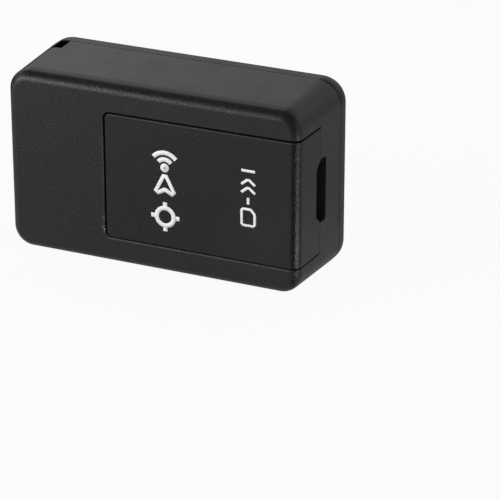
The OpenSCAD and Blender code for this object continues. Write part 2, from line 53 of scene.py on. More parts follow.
Point2 = tuple[float, float]
Point3 = tuple[float, float, float]
Region = tuple[Point2, Point2, Point2]
Input = "float | Point3 | Signal"
Inputs = "dict[str | int, Input]"
MaybeSignal = "Signal | None"

MM = 0.001
HALF_LENGTH = 17.5
HALF_DEPTH = 6.4
MIDDLE_HEIGHT = 10.6
MERGE_REACH = 2e-7

# The corners that the gap round the cover turns about, the front face's skin, and the lanyard eye's middle
GAP_X = -4.8
GAP_Z: Point2 = (4.25, 16.95)
SKIN: Point2 = (-6.2, -6.35)
EYE: Point2 = (-14.75, 18.45)

# Where edges have a radius of their own: the parting line, the window's lower and left sides, and the seam
SPLIT: Region = ((16.0, 17.6), (-1.3, -1.05), (0.0, 21.2))
SILL: Region = ((-5.56, 17.6), (-6.5, -6.0), (3.0, 4.1))
JAMB: Region = ((-5.6, -5.0), (-6.5, -6.0), (3.9, 17.6))
SEAM: Region = ((-17.6, 17.6), (3.3, 3.7), (0.0, 21.2))

# The colour of dust and of scuffed plastic, which also paints highlights, and the black of painted shade
DUST_SCUFF_AND_HIGHLIGHT: Point3 = (0.5, 0.5, 0.49)
PAINTED_SHADE: Point3 = (0.001, 0.001, 0.001)


class Body(Enum):
    """The CAD bodies that pieces ride on."""

    CASE = "case"
    COVER = "cover"


class Slot(Enum):
    """The record's material slots."""

    CASE = "case_plastic"
    COVER = "cover_plastic"
    NICKEL = "magnet_nickel"
    BOARD = "board_laminate"
    TINNED = "tinned_sheet"
    CHIP = "chip_resin"
    MOULDED = "holder_plastic"
    GOLD = "gold_contact"
    RUBBER = "soft_rubber"
    LAMP = "lamp_resin"
    CERAMIC = "ceramic"
    FOIL = "cell_foil"
    FILM = "tape_film"
    LEAD_RED = "lead_red"
    LEAD_BLACK = "lead_black"
    FOAM = "foam"


class Face(Enum):
    """A plane that flat work stands on: its X runs along the case and its Z stands off the plane."""

    FRONT = 1
    BACK = -1

    def matrix(self, depth: float) -> Matrix:
        """The turn from a drawing in metres to this plane, some millimetres behind the front face."""
        turn = Matrix.Rotation(math.radians(90 * self.value), 4, "X")
        return Matrix.Translation((0, (depth - HALF_DEPTH) * MM, MIDDLE_HEIGHT * MM)) @ turn


class Signal:
    """What a node gives, so that sums on it are written as sums."""

    def __init__(self, nodes: Nodes, socket: bpy.types.NodeSocket) -> None:
        """Keeps the tree and the output socket."""
        self.nodes, self.socket = nodes, socket

    def __add__(self, other: Input) -> Signal:
        """The sum of both."""
        return self.nodes.math("ADD", self, other)

    def __sub__(self, other: Input) -> Signal:
        """This one less the other."""
        return self.nodes.math("SUBTRACT", self, other)

    def __rsub__(self, other: float) -> Signal:
        """A number less this one."""
        return self.nodes.math("SUBTRACT", other, self)

    def __mul__(self, other: Input) -> Signal:
        """The product of both."""
        return self.nodes.math("MULTIPLY", self, other)

    def __abs__(self) -> Signal:
        """The size without its sign."""
        return self.nodes.math("ABSOLUTE", self)

    def most(self, other: Input) -> Signal:
        """The larger of both."""
        return self.nodes.math("MAXIMUM", self, other)

    def least(self, other: Input) -> Signal:
        """The smaller of both."""
        return self.nodes.math("MINIMUM", self, other)

    def hypot(self, other: Signal) -> Signal:
        """The length of two steps at right angles."""
        return self.nodes.math("SQRT", self * self + other * other)

    def step(self, low: float, high: float, out_low: float = 0.0, out_high: float = 1.0) -> Signal:
        """A smooth step from one result to the other, as the value goes from low to high or down to it."""
        ends = {"Value": self, "From Min": low, "From Max": high, "To Min": out_low, "To Max": out_high}
        return self.nodes.add("ShaderNodeMapRange", ends, interpolation_type="SMOOTHSTEP")


class Nodes:
    """A node tree under construction."""

    def __init__(self, tree: bpy.types.NodeTree) -> None:
        """Keeps the tree that nodes are added to."""
        self.tree = tree

    def add(self, kind: str, inputs: Inputs, output: str | int = 0, **settings: object) -> Signal:
        """Adds a node, sets or links its inputs, and gives one output.

        Args:
            kind: the node's type name.
            inputs: values or signals, by input name or place.
            output: the output to give back.
            settings: properties set on the node itself.

        Returns:
            The output.
        """
        node = self.tree.nodes.new(kind)
        for key, value in settings.items():
            setattr(node, key, value)
        for key, value in inputs.items():
            self.connect(node.inputs[key], value)
        return Signal(self, node.outputs[output])

    def connect(self, socket: bpy.types.NodeSocket, value: Input) -> None:
        """Links an input to a signal, or sets its value.

        Args:
            socket: the input.
            value: a signal, a number or a colour.
        """
        if isinstance(value, Signal):
            self.tree.links.new(value.socket, socket)
        elif isinstance(value, (int, float)):
            socket.default_value = value
        else:
            socket.default_value = (*value, 1.0) if len(socket.default_value) == 4 else value

    def outputs(self, kind: str, inputs: Inputs) -> dict[str, Signal]:
        """Adds a node and gives all its outputs by name."""
        made = self.add(kind, inputs).socket.node
        return {socket.name: Signal(self, socket) for socket in made.outputs}

    def math(self, operation: str, a: Input, b: Input = 0.0) -> Signal:
        """One sum, by the operation's name."""
        return self.add("ShaderNodeMath", {0: a, 1: b}, operation=operation)

    def vectors(self, operation: str, a: Input, b: Input) -> Signal:
        """A number from two vectors, by the operation's name."""
        return self.add("ShaderNodeVectorMath", {0: a, 1: b}, "Value", operation=operation)

    def mix_number(self, share: Input, a: Input, b: Input) -> Signal:
        """Mixes two numbers, with some share of the second."""
        return self.add("ShaderNodeMix", {0: share, 2: a, 3: b}, 0, data_type="FLOAT")

    def rays(self) -> tuple[Signal, Signal]:
        """Masks of the rays that the camera sees a surface by, and of those that gloss mirrors it by."""
        path = self.outputs("ShaderNodeLightPath", {})
        return path["Is Camera Ray"].most(path["Is Transmission Ray"]), path["Is Glossy Ray"]


class Shader(Nodes):
    """A node material under construction, with coordinates in millimetres."""

    def __init__(self, name: str) -> None:
        """Starts a material with one Principled surface.

        Args:
            name: the material's name.
        """
        self.material = bpy.data.materials.new(name)
        self.material.use_nodes = True
        super().__init__(self.material.node_tree)
        self.surface = self.tree.nodes["Principled BSDF"]
        where = self.add("ShaderNodeTexCoord", {}, "Object")
        self.mm = self.add("ShaderNodeMapping", {"Vector": where, "Scale": (1 / MM,) * 3})

    def set(self, **values: Input) -> None:
        """Sets or links inputs of the Principled surface, with underscores for spaces."""
        for key, value in values.items():
            self.connect(self.surface.inputs[key.replace("_", " ")], value)

    def stretched(self, scale: Point3, turn: float = 0.0) -> Signal:
        """Coordinates with a factor on each axis, turned about Y by some degrees."""
        inputs = {"Vector": self.mm, "Scale": scale, "Rotation": (0, math.radians(turn), 0)}
        return self.add("ShaderNodeMapping", inputs)

    def noise(self, scale: float, detail: int = 2, where: MaybeSignal = None, rough: float = 0.5) -> Signal:
        """A smooth noise about 0.5, of some grains to a millimetre."""
        inputs = {"Vector": where or self.mm, "Scale": scale, "Detail": detail, "Roughness": rough}
        return self.add("ShaderNodeTexNoise", inputs)

    def cells(self, scale: float, output: str = "Distance") -> Signal:
        """A pattern of cells, some to a millimetre: the distance from their middles, or their colour."""
        return self.add("ShaderNodeTexVoronoi", {"Vector": self.mm, "Scale": scale}, output)

    def borders(self, scale: float, where: MaybeSignal = None) -> Signal:
        """The distance from the borders between cells."""
        inputs = {"Vector": where or self.mm, "Scale": scale}
        return self.add("ShaderNodeTexVoronoi", inputs, "Distance", feature="DISTANCE_TO_EDGE")

    def mix(self, share: Input, a: Input, b: Input) -> Signal:
        """Mixes two colours, with some share of the second."""
        return self.add("ShaderNodeMix", {0: share, 6: a, 7: b}, 2, data_type="RGBA")

    def bump(self, height: Signal, depth: float, strength: float = 1.0, under: MaybeSignal = None) -> Signal:
        """A relief some millimetres deep, which may lie on another."""
        inputs = {"Height": height, "Distance": depth * MM, "Strength": strength}
        return self.add("ShaderNodeBump", inputs | ({"Normal": under} if under else {}))

    def place(self) -> dict[str, Signal]:
        """The place's coordinates in millimetres, by axis name."""
        return self.outputs("ShaderNodeSeparateXYZ", {0: self.mm})

    def normal(self) -> Signal:
        """The way that the surface faces."""
        return self.add("ShaderNodeNewGeometry", {}, "Normal")

    def facing(self, axis: str) -> Signal:
        """How much the surface faces along an axis, one way or the other, from 0 to 1."""
        return abs(self.outputs("ShaderNodeSeparateXYZ", {0: self.normal()})[axis])

    def bend(self, radius: float) -> Signal:
        """How much the surface turns within a radius in millimetres, from 0 on a flat face."""
        soft = self.add("ShaderNodeBevel", {"Radius": radius * MM}, samples=4)
        return 1.0 - self.vectors("DOT_PRODUCT", soft, self.normal())


@dataclass(frozen=True)
class Finish:
    """A surface finish, made into one node material the first time that it is used."""

    name: str
    slot: Slot
    colour: Point3
    roughness: float

    def material(self) -> bpy.types.Material:
        """The finish's material, made once.

        Returns:
            The material.
        """
        if self.name not in bpy.data.materials:
            shader = Shader(self.name)
            shader.set(Base_Color=self.colour, Roughness=self.roughness)
            self.dress(shader)
        return bpy.data.materials[self.name]

    def dress(self, shader: Shader) -> None:
        """Adds the finish's own nodes to the material under construction."""
        raise NotImplementedError

    def shade(self, factor: float, lift: float = 0.0) -> Point3:
        """The colour times a factor, made paler by some lift."""
        return tuple(lift + c * factor for c in self.colour)

    def mottled(self, shader: Shader, scale: float, spread: float) -> Signal:
        """The colour, darker and lighter by a share in blotches, some to a millimetre."""
        blotches = shader.noise(scale, 3).step(0.3, 0.7)
        return shader.mix(blotches, self.shade(1 - spread), self.shade(1 + spread))

    def uneven(self, pattern: Signal, less: float, more: float) -> Signal:
        """The roughness, as a pattern takes it from less than its own to more."""
        return pattern.step(0.3, 0.7, self.roughness - less, self.roughness + more)


@dataclass(frozen=True)
class SparkErodedPlastic(Finish):
    """Black moulded plastic: fine spark-eroded grain on the broad faces, smoother on the drafted sides.

    The cover's is polished where its front turns to its sides and has a painted highlight along its top
    edge; the case's has pale flakes and a painted highlight along the lip round the cover, and painted shade
    on the lanyard passage's walls.
    """

    grain: float = 5.0
    grain_depth: float = 0.03
    streak: float = 0.75
    side_share: float = 0.12
    side_roughness: float = 0.42
    speck_share: float = 0.06
    speck_scale: float = 2.6
    shine: float = 0.38
    wear_and_glint: float = 0.35
    scuffed_and_painted: bool = False
    polish: float = 0.0
    sparkle: Point2 = (0.7, 1.3)
    edge_highlight_share: float = 0.04
    rim_z: Point2 = (17.4, 17.46)
    rim_slope: float = 0.0041
    crown_y: Point2 = (-6.1, -4.35)
    crown_fall: float = 0.14
    eye_y: float = 2.4
    eye_reach: Point2 = (2.45, 2.68)
    chip_x: float = -5.72
    chip_z: float = 4.9
    lip_reach: float = 0.9
    burr: Point3 = (-5.62, -6.37, 4.27)

    def dress(self, shader: Shader) -> None:
        """Adds grain, pits, drag lines, dust specks, pale edges that are partly scuffs and partly painted
        glint, painted highlights and painted shade.

        Args:
            shader: the material.
        """
        broad = shader.facing("Y").step(0.1, 0.75)
        streaks = shader.noise(self.grain, 2, shader.stretched((self.streak, 1.0, 1.0)), 0.6)
        grain = streaks + shader.cells(self.grain * 1.4) * 0.4
        depth = broad.step(0.0, 1.0, self.side_share, 1.0)
        smudge = shader.noise(0.35, 3).step(0.35, 0.7, -0.01, 0.02)
        rough = broad.step(0.0, 1.0, self.side_roughness, self.roughness) + smudge
        if self.polish:
            front = shader.facing("Y")
            turning = front.step(0.15, 0.4) * front.step(0.99, 0.95)
            depth = depth * (turning * 0.5 + 1.0)
            rough = rough - turning * shader.noise(8.0, 1).step(0.38, 0.62, *self.sparkle) * self.polish
        drag = shader.noise(1.0, 4, shader.stretched((0.25, 5.0, 5.0)), 0.6)
        normal = shader.bump(drag, 0.006, 0.35, shader.bump(grain * depth, self.grain_depth))

        colour = shader.mix(grain.step(0.45, 0.95), self.shade(0.6), self.shade(1.7))
        # pale edges: partly scuffs, partly a painted glint where edges catch light
        chalk_and_glint = shader.bend(0.12).step(0.02, 0.35) * shader.noise(3.0, 4).step(0.42, 0.62)
        colour = shader.mix(chalk_and_glint * self.wear_and_glint, colour, self.shade(1.7, 0.02))
        few, more = self.speck_share, self.speck_share * 1.5
        chosen = shader.cells(self.speck_scale, "Color").step(1 - more, 1 - few)
        specks = shader.cells(self.speck_scale).step(0.27, 0.15) * chosen
        dust_and_highlight = specks * shader.noise(0.2, 2).step(0.4, 0.6, 0.4, 1.0)
        # painted highlight: the lip along the gap round the cover is painted pale, together with real pale
        # flakes
        if self.scuffed_and_painted:
            dust_and_highlight = dust_and_highlight.most(self.chips_and_lip_highlight(shader))
        colour = shader.mix(dust_and_highlight * 0.2, colour, DUST_SCUFF_AND_HIGHLIGHT)
        if self.polish:
            # painted highlight: a pale line along the cover's top edge
            colour = shader.mix(self.rim(shader) * self.edge_highlight_share, colour, DUST_SCUFF_AND_HIGHLIGHT)
        if self.scuffed_and_painted:
            normal = shader.bump(self.crown(shader), 1.0, 1.0, normal)
            # painted shade: the lanyard passage's walls are painted black, with no gloss
            painted_shade = self.passage(shader)
            colour = shader.mix(painted_shade, colour, PAINTED_SHADE)
            shader.set(Metallic=painted_shade)
        shader.set(Base_Color=colour, Roughness=rough, Normal=normal, Specular_IOR_Level=self.shine)

    def rim(self, shader: Shader) -> Signal:
        """A painted highlight: the pale line along the cover's top edge, which falls a little toward the
        left.
        """
        at = shader.place()
        return (at["Z"] - at["X"] * self.rim_slope).step(*self.rim_z) * at["Y"].step(*SKIN)

    def crown(self, shader: Shader) -> Signal:
        """The height in millimetres by which the top falls away softly to its front edge."""
        fall = shader.place()["Y"].step(*self.crown_y, -self.crown_fall, 0.0)
        return fall * shader.facing("X").step(0.0, 0.95, 1.0, 0.0)

    def passage(self, shader: Shader) -> Signal:
        """Painted shade: the walls of the lanyard's passage, painted black and made metallic so that they
        show neither light nor gloss.

        Args:
            shader: the material.

        Returns:
            The mask.
        """
        at = shader.place()
        away = (at["X"] - EYE[0]).hypot(at["Z"] - EYE[1])
        within = (away - at["Y"].step(3.4, 3.45, *self.eye_reach)).step(0.05, 0.0)
        return within * abs(at["Y"] - self.eye_y).step(1.3, 1.15)

    def chips_and_lip_highlight(self, shader: Shader) -> Signal:
        """Pale flakes low beside the cover's left edge, where a fingernail opens it, a pale burr at its
        lower corner, and a painted highlight along the lip below the cover, with a fainter pale line up its
        left side.

        Args:
            shader: the material.

        Returns:
            The mask.
        """
        at = shader.place()
        front = at["Y"].step(*SKIN)
        near = abs(at["X"] - self.chip_x).step(0.34, 0.12) * abs(at["Z"] - self.chip_z).step(1.4, 0.8)
        flakes = near * front * shader.noise(5.5, 2, rough=0.6).step(0.52, 0.62)
        burr = shader.vectors("DISTANCE", shader.mm, self.burr).step(0.1, 0.06) * 3.0
        beside, below = (at["X"] - GAP_X).least(0.0), (at["Z"] - GAP_Z[0]).least(0.0)
        # painted highlight along the lip below the cover, and a fainter pale line up its left side
        lip = abs((beside * 1.09).hypot(below) - self.lip_reach).step(0.14, 0.06) * front
        lip_highlight_fade = below.step(-0.2, -0.7, 0.5, 1.0) * at["Z"].step(17.0, 16.0)
        middle = abs(at["Z"] - 12.0).step(3.5, 2.0, 1.0, 2.0)
        return flakes.most(burr).most(lip * lip_highlight_fade * middle * 0.22)


@dataclass(frozen=True)
class PadPrint(Finish):
    """White printed ink, thin enough in places to show some grain."""

    def dress(self, shader: Shader) -> None:
        """Adds pinholes and the grain under the ink.

        Args:
            shader: the material.
        """
        thin = shader.noise(4.5, 3).step(0.66, 0.76)
        colour = shader.mix(thin, self.colour, self.shade(0.55))
        shader.set(Base_Color=colour, Normal=shader.bump(shader.noise(8.0, 3), 0.006))


@dataclass(frozen=True)
class NickelPlate(Finish):
    """Bright nickel over a ground disc, with fine turning marks and handling scratches."""

    centre: float = 9.0

    def dress(self, shader: Shader) -> None:
        """Adds rings round each disc's middle, scratches and finger haze.

        Args:
            shader: the material.
        """
        at = shader.place()
        reach = (abs(at["X"]) - self.centre).hypot(at["Z"] - MIDDLE_HEIGHT)
        inputs = {"W": reach, "Scale": 9.0, "Detail": 4}
        rings = shader.add("ShaderNodeTexNoise", inputs, noise_dimensions="1D")
        scratch = shader.borders(0.5, shader.stretched((0.5, 1, 3), 38)).step(0.012, 0.0)
        normal = shader.bump(scratch, 0.004, 0.5, shader.bump(rings, 0.004, 0.4))
        haze = shader.noise(0.5, 4).step(0.4, 0.7, self.roughness, self.roughness + 0.16)
        colour = self.mottled(shader, 0.6, 0.05)
        shader.set(Base_Color=colour, Metallic=1.0, Roughness=haze + scratch * 0.12, Normal=normal)


@dataclass(frozen=True)
class RolledMetal(Finish):
    """Plated sheet metal with the rolling direction along the case."""

    grain: Point3 = (0.4, 6.0, 6.0)
    tarnish: float = 0.12

    def dress(self, shader: Shader) -> None:
        """Adds rolling lines and tarnish.

        Args:
            shader: the material.
        """
        lines = shader.noise(1.6, 4, shader.stretched(self.grain), 0.65)
        stain = shader.noise(0.9, 3).step(0.45, 0.75)
        colour = shader.mix(stain, self.colour, self.shade(1 - 2 * self.tarnish))
        rough = self.uneven(lines, 0.08, 0.1) + stain * 0.08
        shader.set(Base_Color=colour, Metallic=1.0, Roughness=rough, Normal=shader.bump(lines, 0.004, 0.5))


@dataclass(frozen=True)
class SolderMask(Finish):
    """Green solder mask over woven glass laminate, with copper showing darker and lighter beneath."""

    laminate: Point3 = (0.33, 0.27, 0.12)

    def dress(self, shader: Shader) -> None:
        """Adds the weave, copper pour edges and gloss changes; the board's edge shows bare laminate.

        Args:
            shader: the material.
        """
        threads = {"Vector": shader.mm, "Scale": 1.1, "Distortion": 0.6}
        along, up = (shader.add("ShaderNodeTexWave", threads, 1, bands_direction=axis) for axis in "XZ")
        pour = shader.borders(0.42).step(0.06, 0.09)
        colour = shader.mix(pour, self.shade(0.62), self.mottled(shader, 1.2, 0.12))
        colour = shader.mix(shader.facing("Y").step(0.55, 0.4), colour, self.laminate)
        normal = shader.bump(pour, 0.02, 0.8, shader.bump(along * up, 0.006, 0.4))
        rough = self.uneven(shader.noise(2.0, 2), 0.0, 0.12)
        shader.set(Base_Color=colour, Roughness=rough, Normal=normal, Coat_Weight=0.25, Coat_Roughness=0.12)


@dataclass(frozen=True)
class Moulding(Finish):
    """A small moulded or fired part: resin, ceramic or rubber with a fine even grain."""

    grain: float = 9.0
    grain_depth: float = 0.004
    spread: float = 0.15
    shine: float = 0.5

    def dress(self, shader: Shader) -> None:
        """Adds grain, a faint flow pattern and uneven gloss.

        Args:
            shader: the material.
        """
        colour = self.mottled(shader, self.grain / 5, self.spread)
        rough = self.uneven(shader.noise(self.grain / 4, 3), 0.06, 0.08)
        normal = shader.bump(shader.noise(self.grain, 3, rough=0.6), self.grain_depth)
        shader.set(Base_Color=colour, Roughness=rough, Normal=normal, Specular_IOR_Level=self.shine)


@dataclass(frozen=True)
class LampResin(Finish):
    """Clear resin over a pale phosphor cup."""

    phosphor: Point3 = (0.8, 0.62, 0.18)

    def dress(self, shader: Shader) -> None:
        """Adds the phosphor's blotches and a clear coat.

        Args:
            shader: the material.
        """
        colour = shader.mix(shader.noise(1.5, 2).step(0.35, 0.65), self.colour, self.phosphor)
        normal = shader.bump(shader.noise(5.0, 2), 0.01, 0.4)
        shader.set(Base_Color=colour, Coat_Weight=0.8, Coat_Roughness=0.06, Normal=normal)


@dataclass(frozen=True)
class LaminatedFoil(Finish):
    """Dull aluminium pouch foil, softly creased."""

    def dress(self, shader: Shader) -> None:
        """Adds dents, creases and a rolled sheen.

        Args:
            shader: the material.
        """
        creases = shader.borders(0.35, shader.stretched((1, 1, 0.6))).step(0.0, 0.05)
        normal = shader.bump(creases, 0.02, 0.5, shader.bump(shader.noise(0.5, 4), 0.05, 0.5))
        rough = self.uneven(shader.noise(1.5, 3, shader.stretched((0.5, 5, 5))), 0.05, 0.1)
        colour = self.mottled(shader, 0.5, 0.06)
        shader.set(Base_Color=colour, Metallic=0.85, Roughness=rough, Normal=normal)


@dataclass(frozen=True)
class AmberFilm(Finish):
    """Amber insulating film with trapped bubbles and, on the aerial, a silvered meander under it."""

    meander: bool = False
    silver: Point3 = (0.62, 0.6, 0.55)

    def dress(self, shader: Shader) -> None:
        """Adds bubbles, wrinkles and the optional meander.

        Args:
            shader: the material.
        """
        bubbles = shader.cells(0.9).step(0.16, 0.1)
        colour = shader.mix(bubbles, self.mottled(shader, 0.5, 0.12), self.shade(1.25))
        if self.meander:
            run = shader.math("PINGPONG", shader.place()["X"], 0.8)
            colour = shader.mix(run.step(0.42, 0.48), colour, self.silver)
        normal = shader.bump(shader.noise(0.6, 3), 0.03, 0.5)
        shader.set(Base_Color=colour, Normal=normal, Coat_Weight=0.6, Coat_Roughness=0.1)


@dataclass(frozen=True)
class OpenFoam(Finish):
    """Open-cell foam."""

    def dress(self, shader: Shader) -> None:
        """Adds cells as pits, with painted shade in them.

        Args:
            shader: the material.
        """
        cells = shader.cells(2.6)
        # painted shade: the cells' middles, which are pits, are darker
        colour = shader.mix(cells.step(0.1, 0.4), self.shade(0.5), self.colour)
        shader.set(Base_Color=colour, Normal=shader.bump(cells, 0.12), Specular_IOR_Level=0.2)


CASE_PLASTIC = SparkErodedPlastic(
    "case_plastic_black", Slot.CASE, (0.0069, 0.0069, 0.0072), 0.38, speck_share=0.08, scuffed_and_painted=True
)
BACK_PLASTIC = replace(CASE_PLASTIC, name="back_plastic_black", shine=0.3)
COVER_PLASTIC = SparkErodedPlastic(
    "cover_plastic_black", Slot.COVER, (0.0037, 0.0037, 0.004), 0.4, polish=0.18
)
WHITE_INK = PadPrint("white_ink", Slot.COVER, (0.78, 0.78, 0.77), 0.55)
NICKEL = NickelPlate("nickel_plate", Slot.NICKEL, (0.74, 0.72, 0.68), 0.16)
TINNED = RolledMetal("tinned_sheet", Slot.TINNED, (0.6, 0.61, 0.62), 0.34)
GOLD = RolledMetal("gold_flash", Slot.GOLD, (0.83, 0.6, 0.28), 0.26, tarnish=0.05)
SOLDER = RolledMetal("bright_solder", Slot.TINNED, (0.66, 0.66, 0.65), 0.3, grain=(3.0, 3.0, 3.0))
MASK_GREEN = SolderMask("solder_mask_green", Slot.BOARD, (0.015, 0.105, 0.045), 0.34)
TRACE_GREEN = Moulding("covered_trace", Slot.BOARD, (0.03, 0.19, 0.08), 0.3, grain=5.0)
LEGEND_INK = PadPrint("board_legend", Slot.BOARD, (0.8, 0.8, 0.76), 0.6)
CHIP_RESIN = Moulding("chip_resin", Slot.CHIP, (0.022, 0.022, 0.024), 0.55)
MOULDED_BLACK = Moulding("moulded_black", Slot.MOULDED, (0.03, 0.03, 0.032), 0.48)
CERAMIC_TAN = Moulding("ceramic_tan", Slot.CERAMIC, (0.36, 0.25, 0.15), 0.42, grain=12.0)
CERAMIC_BLACK = Moulding("ceramic_black", Slot.CERAMIC, (0.02, 0.02, 0.022), 0.3, grain=12.0)
RUBBER = Moulding("soft_rubber", Slot.RUBBER, (0.028, 0.028, 0.03), 0.72, grain=5.0, shine=0.3)
LAMP = LampResin("lamp_resin", Slot.LAMP, (0.85, 0.82, 0.7), 0.2)
FOIL = LaminatedFoil("pouch_foil", Slot.FOIL, (0.62, 0.63, 0.65), 0.38)
FILM = AmberFilm("amber_film", Slot.FILM, (0.6, 0.27, 0.04), 0.28)
AERIAL_FILM = AmberFilm("aerial_film", Slot.FILM, (0.55, 0.24, 0.04), 0.28, meander=True)
LEAD_RED = Moulding("lead_red", Slot.LEAD_RED, (0.5, 0.02, 0.02), 0.35, grain=3.0)
LEAD_BLACK = Moulding("lead_black", Slot.LEAD_BLACK, (0.02, 0.02, 0.02), 0.35, grain=3.0)
FOAM = OpenFoam("dark_foam", Slot.FOAM, (0.06, 0.06, 0.065), 0.9)


def link(name: str, data: bpy.types.ID) -> bpy.types.Object:
    """Puts a new object at the origin of the scene.

    Args:
        name: the object's name.
        data: its mesh, curve, light or camera.

    Returns:
        The object.
    """
    made = bpy.data.objects.new(name, data)
    bpy.context.scene.collection.objects.link(made)
    return made


def baked(made: bpy.types.Object) -> bpy.types.Object:
    """Turns an object's modifiers into a plain mesh.

    Args:
        made: a mesh or curve object.

    Returns:
        The mesh object, which takes the place of a curve.
    """
    graph = bpy.context.evaluated_depsgraph_get()
    mesh = bpy.data.meshes.new_from_object(made.evaluated_get(graph), depsgraph=graph)
    mesh.name = made.name
    if made.type == "MESH":
        made.modifiers.clear()
        made.data = mesh
        return made
    name = made.name
    bpy.data.objects.remove(made)
    return link(name, mesh)


def settle(made: bpy.types.Object, body: Body, stands_for: tuple[str, ...] = ()) -> None:
    """Gives a finished piece its body and the nodes that it stands for.

    Args:
        made: the piece, with its place in its mesh.
        body: the body that it rides on.
        stands_for: CAD nodes that it replaces.
    """
    if stands_for:
        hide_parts(*stands_for)
    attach(made, body.value)
    log.info("%s: %d faces on %s", made.name, len(made.data.polygons), body.value)


@dataclass
class Softened:
    """A CAD node's solid with its sharp edges broken, and with even shading on its flat faces."""

    node: str
    finish: Finish
    radius: float = 0.05
    rounds: int = 2
    body: Body = Body.CASE
    sharp: float = 34.0
    flat: float = 0.5
    regions: tuple[tuple[Region, float], ...] = ()

    def build(self) -> None:
        """Copies, merges and softens the node's mesh, and stands in for the node."""
        work = bmesh.new()
        work.from_mesh(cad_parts[self.node].data)
        bmesh.ops.remove_doubles(work, verts=work.verts, dist=MERGE_REACH)
        self.shape(work)
        level = {"angle_limit": math.radians(self.flat), "delimit": {"NORMAL"}}
        bmesh.ops.dissolve_limit(work, verts=work.verts, edges=work.edges, **level)
        for item in work.faces:
            item.smooth = True
        radii = sorted({self.radius, *(radius for _, radius in self.regions)}, reverse=True)
        weights = {radius: work.edges.layers.float.new(f"rounded_{i}") for i, radius in enumerate(radii)}
        for item in work.edges:
            if item.is_manifold and item.calc_face_angle() > math.radians(self.sharp):
                item[weights[self.radius_at(item)]] = 1.0
        mesh = bpy.data.meshes.new(self.node + "_soft")
        work.to_mesh(mesh)
        work.free()
        mesh.materials.append(self.finish.material())
        made = link(mesh.name, mesh)
        for i, radius in enumerate(radii):
            bevel = made.modifiers.new(f"Broken edges {i}", "BEVEL")
            bevel.width = radius * MM
            bevel.segments = self.rounds
            bevel.limit_method = "WEIGHT"
            bevel.edge_weight = f"rounded_{i}"
            bevel.miter_outer = "MITER_ARC"
            bevel.use_clamp_overlap = False
        even = made.modifiers.new("Even shading", "WEIGHTED_NORMAL")
        even.weight = 80
        settle(baked(made), self.body, (self.node,))

    def shape(self, work: bmesh.types.BMesh) -> None:
        """Changes the merged copy before its edges are broken; a plain solid stays as it is."""

    def radius_at(self, item: bmesh.types.BMEdge) -> float:
        """Gives an edge's radius.

        Args:
            item: the edge.

        Returns:
            The radius of the first region that holds both of its ends, or the plain one, in millimetres.
        """
        ends = [vert.co / MM for vert in item.verts]
        for region, radius in self.regions:
            if all(low <= end[axis] <= high for end in ends for axis, (low, high) in enumerate(region)):
                return radius
        return self.radius


def soften(*pieces: tuple[str, Finish, float] | tuple[str, Finish, float, int]) -> None:
    """Softens plain solids on the case, each given by its node, finish, edge radius and rounding steps."""
    for piece in pieces:
        Softened(*piece).build()


@dataclass
class Fitted(Softened):
    """A solid that bounds the gap round the cover, with that outline a hair closer to the photograph's."""

    reach: float = 0.92
    shift: float = 0.17
    rise: float = 0.0
    drop: float = 0.09
    end_x: float = 17.06
    slack: float = 0.02

    def shape(self, work: bmesh.types.BMesh) -> None:
        """Moves the outline's left side along, its lower side up, and its upper side down toward the left.

        Args:
            work: the merged copy.
        """
        low, high = GAP_Z
        for vert in work.verts:
            x, _, z = vert.co / MM
            beside = min(0.0, x - GAP_X)
            away = math.hypot(beside, z - min(max(z, low), high))
            if abs(away - self.reach) < self.slack:
                left = min(1.0, max(0.0, (self.end_x - x) / (self.end_x - GAP_X)))
                vert.co.x += self.shift * MM * -beside / self.reach
                vert.co.z += self.rise * MM * max(0.0, low - z) / self.reach
                vert.co.z -= self.drop * MM * left * max(0.0, z - high) / self.reach


class Pattern(Nodes):
    """A Geometry Nodes tree under construction, with named inputs."""

    def __init__(self, name: str) -> None:
        """Starts a tree with a geometry input and output.

        Args:
            name: the tree's name.
        """
        super().__init__(bpy.data.node_groups.new(name, "GeometryNodeTree"))
        for way in ("INPUT", "OUTPUT"):
            self.tree.interface.new_socket("Geometry", in_out=way, socket_type="NodeSocketGeometry")
        self.entry = self.tree.nodes.new("NodeGroupInput")
        self.exit = self.tree.nodes.new("NodeGroupOutput")

    def ask(self, kind: str, *names: str) -> list[Signal]:
        """Adds named inputs of one kind: Float, Int, Object or Material.

        Args:
            kind: the kind of value.
            names: the inputs' names.

        Returns:
            What the inputs give inside the tree.
        """
        for name in names:
            self.tree.interface.new_socket(name, in_out="INPUT", socket_type="NodeSocket" + kind)
        return [Signal(self, self.entry.outputs[name]) for name in names]

    def close(self, geometry: Signal) -> None:
        """Realizes what the tree made and gives it its finish.

        Args:
            geometry: what was made.
        """
        (finish,) = self.ask("Material", "Finish")
        real = self.add("GeometryNodeRealizeInstances", {"Geometry": geometry})
        done = self.add("GeometryNodeSetMaterial", {"Geometry": real, "Material": finish})
        self.connect(self.exit.inputs[0], done)

    def run(self, made: bpy.types.Object, finish: Finish, values: dict[str, object]) -> bpy.types.Object:
        """Runs the tree on an object and turns the result into a plain mesh.

        Args:
            made: the object that carries the tree.
            finish: the finish of what the tree makes.
            values: the other named inputs' values.

        Returns:
            The mesh object.
        """
        values = values | {"Finish": finish.material()}
        modifier = made.modifiers.new(self.tree.name, "NODES")
        modifier.node_group = self.tree
        for item in self.tree.interface.items_tree:
            if item.in_out == "INPUT" and item.name in values:
                modifier[item.identifier] = values[item.name]
        return baked(made)


